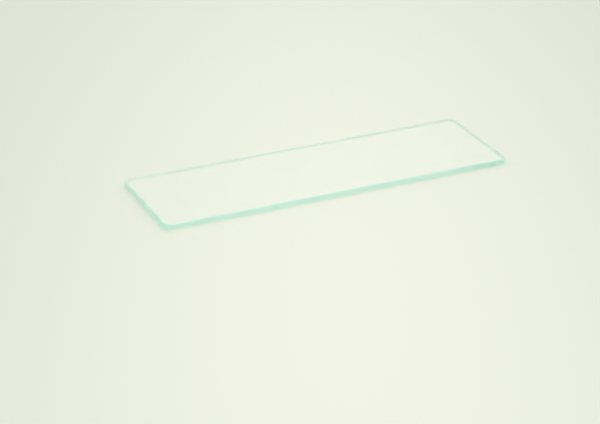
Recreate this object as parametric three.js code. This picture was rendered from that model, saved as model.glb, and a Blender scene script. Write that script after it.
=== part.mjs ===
// A plain microscope slide: one pane of clear soda-lime glass, with ground edges and rounded corners.
//
// Units are millimetres and +Z is up. The slide lies flat on its lower face, with its length along X.
// The origin is the centre of the lower face.
import * as THREE from "three";

// Driving sizes
const LENGTH = 76; // along X, from one ground end to the other
const WIDTH = 26; // along Y, from one ground side to the other
const THICKNESS = 1.1; // along Z, from the lower polished face to the upper one
const CORNER_RADIUS = 1.5; // of the outline at its widest, halfway up the ground edge
const SEAM_WIDTH = 0.15; // how far the seam ground along each arris reaches in over the polished face
const SEAM_HEIGHT = 0.15; // how far the same seam reaches down the edge

// Fineness of the facets
const CORNER_STEPS = 24; // of the curve at each rounded corner, each of which becomes two facets

// The outline at its widest, halfway up the edge: a rectangle whose corners are quarter circles.
function slideOutline() {
  const x = LENGTH / 2 - CORNER_RADIUS;
  const y = WIDTH / 2 - CORNER_RADIUS;
  const right = 0;
  const back = Math.PI / 2;
  const left = Math.PI;
  const front = -Math.PI / 2;
  const outline = new THREE.Shape();
  outline.absarc(x, y, CORNER_RADIUS, right, back);
  outline.absarc(-x, y, CORNER_RADIUS, back, left);
  outline.absarc(-x, -y, CORNER_RADIUS, left, front + 2 * Math.PI);
  outline.absarc(x, -y, CORNER_RADIUS, front, right);
  outline.closePath();
  return outline;
}

// The outline carried up through the thickness. Its edge has an upright land in the middle and a flat
// 45 degree seam above and below it, which runs round the corners as the grinding wheel leaves it.
function glassPane() {
  const pane = new THREE.ExtrudeGeometry(slideOutline(), {
    depth: THICKNESS - 2 * SEAM_HEIGHT,
    curveSegments: CORNER_STEPS,
    bevelEnabled: true,
    bevelSegments: 1,
    bevelThickness: SEAM_HEIGHT,
    bevelSize: SEAM_WIDTH,
    bevelOffset: -SEAM_WIDTH,
  });
  pane.translate(0, 0, SEAM_HEIGHT);
  return pane;
}

const clearGlass = new THREE.MeshStandardMaterial({
  name: "clear_glass",
  color: new THREE.Color(0.78, 0.93, 0.86),
  roughness: 0.05,
  metalness: 0,
  transparent: true,
  opacity: 0.35,
});

const slide = new THREE.Mesh(glassPane(), clearGlass);
slide.name = "glass_slide";

const microscopeSlide = new THREE.Group();
microscopeSlide.add(slide);

export default microscopeSlide;
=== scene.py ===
"""A plain microscope slide of clear glass with ground edges, on a pale floor in soft light."""

import math

import bpy
from mathutils import Matrix, Vector


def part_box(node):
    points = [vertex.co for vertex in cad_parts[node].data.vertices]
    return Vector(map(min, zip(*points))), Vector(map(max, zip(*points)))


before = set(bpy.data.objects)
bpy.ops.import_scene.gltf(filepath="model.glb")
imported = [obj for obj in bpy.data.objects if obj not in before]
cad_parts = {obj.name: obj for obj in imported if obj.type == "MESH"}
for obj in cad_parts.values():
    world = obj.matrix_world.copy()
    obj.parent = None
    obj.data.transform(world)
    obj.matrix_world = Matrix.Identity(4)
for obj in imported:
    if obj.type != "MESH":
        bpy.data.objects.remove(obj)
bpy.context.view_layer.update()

# Sizes are in metres, and MM is one millimetre.
MM = 0.001
slide_low, slide_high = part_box("glass_slide")

# The camera looks down at the slide's upper face from its front left, and is turned a little on
# its own line of sight.
VIEW_AZIMUTH = math.radians(-22.10)
VIEW_ELEVATION = math.radians(23.94)
VIEW_ROLL = math.radians(-1.93)
VIEW_DISTANCE = 446.0 * MM
VIEW_AIM = Vector((-11.58 * MM, -18.63 * MM, slide_high.z))
LENS_MM = 134.0
SENSOR_MM = 36.0
NEAREST_SEEN = 10 * MM
FARTHEST_SEEN = 10000 * MM
LENS_SOFTNESS = 2.5  # the width in pixels over which each pixel gathers light

# The floor is a pale cream sheet, a hair below the slide so that light gets in between them. Its
# colour has light painted into it: palest in a long oval of painted light round the slide, and a
# little greyer farther off.
FLOOR_HALF_SIZE = 5000 * MM
FLOOR_GAP = 0.03 * MM
FLOOR_PAINTED_LIGHT_COLOUR = (0.886, 0.905, 0.808)
FLOOR_FAR_COLOUR = (0.72, 0.76, 0.68)
FLOOR_ROUGHNESS = 0.9
# Where the painted light lies on the floor: the centre, turn and radii of its oval.
PAINTED_LIGHT_CENTRE = (-19 * MM, -57 * MM, 0.0)
PAINTED_LIGHT_TURN = (0.0, 0.0, math.radians(-22.1))
PAINTED_LIGHT_RADII = (101 * MM, 356 * MM, 1.0)

# The room lights the slide from all round: most from a wide soft lamp overhead and a little to the
# right, and then from a window behind the slide. Where it meets the floor, it is the colour that
# the far floor has in this light, so that no line shows between the two.
ROOM_COLOUR = (0.59, 0.595, 0.58)
LAMP_DIRECTION = Vector((0.30, 0.10, 0.94))
LAMP_COLOUR = (1.34, 1.34, 1.31)
LAMP_SPAN = (0.4, 1.0)
WINDOW_DIRECTION = Vector((0.35, 0.83, 0.43))
WINDOW_COLOUR = (0.86, 0.865, 0.81)
WINDOW_SPAN = (-0.5, 1.0)
HORIZON_COLOUR = (0.735, 0.776, 0.678)
HORIZON_SPAN = (0.0, 0.35)

# Clear soda-lime glass is nearly colourless through its thickness and mint green along its length.
GLASS_IOR = 1.52
ABSORPTION_COLOUR = (0.10, 0.90, 0.76)
ABSORPTION_DENSITY = 12.0

# The ground edges scatter light: they are rough, and partly as opaque and pale as frost.
FLAT_NORMAL = 0.9
GROUND_COLOUR = (0.99, 0.99, 0.985)
GROUND_DEEP_COLOUR = (0.88, 0.96, 0.91)
GROUND_CLEARNESS = 0.86
GROUND_ROUGHNESS = (0.42, 0.66)

# The wheel left faint streaks running round the slide. The scale is how many of them go to the
# metre along each axis, and the span is the part of the noise that is spread over 0 to 1.
STREAK_SCALE = (1500, 1500, 12000)
STREAK_SPAN = (0.3, 0.7)

# Light caught inside the pane goes round many times before it leaves by an edge.
GLASS_BOUNCES = 256
DIFFUSE_BOUNCES = 32

# Where a Mix node keeps the sockets that it uses for colours.
MIX_SHARE, MIX_FIRST, MIX_SECOND = 0, 6, 7
MIX_RESULT = 2


def link_object(name, data):
    """A new object in the scene that holds this data."""
    thing = bpy.data.objects.new(name, data)
    bpy.context.scene.collection.objects.link(thing)
    return thing


def add_camera():
    """The camera, on the line from VIEW_AIM towards VIEW_AZIMUTH and VIEW_ELEVATION."""
    back = Vector((
        math.sin(VIEW_AZIMUTH) * math.cos(VIEW_ELEVATION),
        -math.cos(VIEW_AZIMUTH) * math.cos(VIEW_ELEVATION),
        math.sin(VIEW_ELEVATION),
    ))
    level_right = Vector((math.cos(VIEW_AZIMUTH), math.sin(VIEW_AZIMUTH), 0.0))
    level_up = back.cross(level_right)
    right = math.cos(VIEW_ROLL) * level_right + math.sin(VIEW_ROLL) * level_up
    up = back.cross(right)
    data = bpy.data.cameras.new("camera")
    data.lens = LENS_MM
    data.sensor_width = SENSOR_MM
    data.clip_start = NEAREST_SEEN
    data.clip_end = FARTHEST_SEEN
    camera = link_object("camera", data)
    turn = Matrix((right, up, back)).transposed().to_4x4()
    camera.matrix_world = Matrix.Translation(VIEW_AIM + back * VIEW_DISTANCE) @ turn
    bpy.context.scene.camera = camera
    bpy.context.scene.cycles.filter_width = LENS_SOFTNESS


def new_node(tree, kind, **settings):
    """A new shader node with these properties set."""
    node = tree.nodes.new(kind)
    for name, value in settings.items():
        setattr(node, name, value)
    return node


def map_range(tree, source, span, to, smooth=False):
    """The value of source, taken from the one span to the other."""
    step = "SMOOTHSTEP" if smooth else "LINEAR"
    node = new_node(tree, "ShaderNodeMapRange", interpolation_type=step)
    node.inputs["From Min"].default_value, node.inputs["From Max"].default_value = span
    node.inputs["To Min"].default_value, node.inputs["To Max"].default_value = to
    tree.links.new(source, node.inputs["Value"])
    return node.outputs["Result"]


def mix_colours(tree, share, first, second):
    """The colour that goes from first to second as share goes from 0 to 1.

    Each of the two is a plain colour or another node's socket.
    """
    node = new_node(tree, "ShaderNodeMix", data_type="RGBA")
    tree.links.new(share, node.inputs[MIX_SHARE])
    for place, colour in ((MIX_FIRST, first), (MIX_SECOND, second)):
        if isinstance(colour, tuple):
            node.inputs[place].default_value = (*colour, 1.0)
        else:
            tree.links.new(colour, node.inputs[place])
    return node.outputs[MIX_RESULT]


def add_floor():
    """A flat floor, its colour palest in an oval of painted light round the slide."""
    half = FLOOR_HALF_SIZE
    corners = [(-half, -half, 0), (half, -half, 0), (half, half, 0), (-half, half, 0)]
    mesh = bpy.data.meshes.new("floor")
    mesh.from_pydata(corners, [], [(0, 1, 2, 3)])
    floor = link_object("floor", mesh)
    floor.location.z = slide_low.z - FLOOR_GAP
    material = bpy.data.materials.new("floor")
    material.use_nodes = True
    tree = material.node_tree
    shader = tree.nodes["Principled BSDF"]
    shader.inputs["Roughness"].default_value = FLOOR_ROUGHNESS
    place = new_node(tree, "ShaderNodeTexCoord")
    # The oval of painted light on the floor: its centre, turn and radii.
    painted_light_oval = new_node(tree, "ShaderNodeMapping", vector_type="TEXTURE")
    painted_light_oval.inputs["Location"].default_value = PAINTED_LIGHT_CENTRE
    painted_light_oval.inputs["Rotation"].default_value = PAINTED_LIGHT_TURN
    painted_light_oval.inputs["Scale"].default_value = PAINTED_LIGHT_RADII
    tree.links.new(place.outputs["Object"], painted_light_oval.inputs["Vector"])
    distance = new_node(tree, "ShaderNodeVectorMath", operation="LENGTH")
    tree.links.new(painted_light_oval.outputs["Vector"], distance.inputs[0])
    # Painted light falling off: the colour fades from the oval's bright centre to the greyer far
    # colour.
    painted_falloff_share = map_range(tree, distance.outputs["Value"], (0, 1), (0, 1), smooth=True)
    colour = mix_colours(tree, painted_falloff_share, FLOOR_PAINTED_LIGHT_COLOUR, FLOOR_FAR_COLOUR)
    tree.links.new(colour, shader.inputs["Base Color"])
    mesh.materials.append(material)


def add_light(tree, direction, towards, span, colour, light_colour):
    """The colour, going over into light_colour as the direction turns towards the light."""
    facing = new_node(tree, "ShaderNodeVectorMath", operation="DOT_PRODUCT")
    facing.inputs[1].default_value = towards.normalized()
    tree.links.new(direction, facing.inputs[0])
    share = map_range(tree, facing.outputs["Value"], span, (0, 1), smooth=True)
    return mix_colours(tree, share, colour, light_colour)


def add_room():
    """The world, which holds all the light."""
    world = bpy.data.worlds.new("room")
    world.use_nodes = True
    tree = world.node_tree
    direction = new_node(tree, "ShaderNodeTexCoord").outputs["Generated"]
    colour = add_light(tree, direction, WINDOW_DIRECTION, WINDOW_SPAN, ROOM_COLOUR, WINDOW_COLOUR)
    colour = add_light(tree, direction, LAMP_DIRECTION, LAMP_SPAN, colour, LAMP_COLOUR)
    split = new_node(tree, "ShaderNodeSeparateXYZ")
    tree.links.new(direction, split.inputs[0])
    height = map_range(tree, split.outputs["Z"], HORIZON_SPAN, (0, 1), smooth=True)
    colour = mix_colours(tree, height, HORIZON_COLOUR, colour)
    tree.links.new(colour, tree.nodes["Background"].inputs["Color"])
    bpy.context.scene.world = world


def ground_share(tree):
    """1 on the ground edges and seams, and 0 on the two polished faces."""
    geometry = new_node(tree, "ShaderNodeNewGeometry")
    split = new_node(tree, "ShaderNodeSeparateXYZ")
    tree.links.new(geometry.outputs["True Normal"], split.inputs[0])
    upright = new_node(tree, "ShaderNodeMath", operation="ABSOLUTE")
    tree.links.new(split.outputs["Z"], upright.inputs[0])
    ground = new_node(tree, "ShaderNodeMath", operation="LESS_THAN")
    ground.inputs[1].default_value = FLAT_NORMAL
    tree.links.new(upright.outputs[0], ground.inputs[0])
    return ground.outputs[0]


def grinding_streaks(tree):
    """Noise from 0 to 1, drawn out along the edges."""
    place = new_node(tree, "ShaderNodeTexCoord")
    mapping = new_node(tree, "ShaderNodeMapping")
    mapping.inputs["Scale"].default_value = STREAK_SCALE
    tree.links.new(place.outputs["Object"], mapping.inputs["Vector"])
    noise = new_node(tree, "ShaderNodeTexNoise")
    noise.inputs["Scale"].default_value = 1.0
    tree.links.new(mapping.outputs["Vector"], noise.inputs["Vector"])
    return map_range(tree, noise.outputs["Fac"], STREAK_SPAN, (0, 1))


def glass_material():
    """Polished where a face lies flat, and ground on the edges and their seams."""
    material = bpy.data.materials.new("clear_glass")
    material.use_nodes = True
    tree = material.node_tree
    shader = tree.nodes["Principled BSDF"]
    shader.inputs["IOR"].default_value = GLASS_IOR
    ground = ground_share(tree)
    streaks = grinding_streaks(tree)

    scratched = map_range(tree, streaks, (0, 1), GROUND_ROUGHNESS)
    roughness = new_node(tree, "ShaderNodeMath", operation="MULTIPLY")
    tree.links.new(scratched, roughness.inputs[0])
    tree.links.new(ground, roughness.inputs[1])
    tree.links.new(roughness.outputs[0], shader.inputs["Roughness"])

    clearness = map_range(tree, ground, (0, 1), (1, GROUND_CLEARNESS))
    tree.links.new(clearness, shader.inputs["Transmission Weight"])
    frost = mix_colours(tree, streaks, GROUND_DEEP_COLOUR, GROUND_COLOUR)
    colour = mix_colours(tree, ground, (1.0, 1.0, 1.0), frost)
    tree.links.new(colour, shader.inputs["Base Color"])

    absorption = new_node(tree, "ShaderNodeVolumeAbsorption")
    absorption.inputs["Color"].default_value = (*ABSORPTION_COLOUR, 1.0)
    absorption.inputs["Density"].default_value = ABSORPTION_DENSITY
    tree.links.new(absorption.outputs[0], tree.nodes["Material Output"].inputs["Volume"])
    return material


def set_cycles():
    """How far light is followed, and what the denoiser sees.

    It is given the colour alone: with its other passes as well, the thin far edges come out dashed.
    """
    cycles = bpy.context.scene.cycles
    cycles.max_bounces = GLASS_BOUNCES
    cycles.transmission_bounces = GLASS_BOUNCES
    cycles.glossy_bounces = GLASS_BOUNCES
    cycles.diffuse_bounces = DIFFUSE_BOUNCES
    cycles.blur_glossy = 0.0
    cycles.denoising_input_passes = "RGB"


add_camera()
add_floor()
add_room()
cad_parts["glass_slide"].material_slots[0].material = glass_material()
set_cycles()
bpy.context.scene.view_settings.view_transform = "Standard"
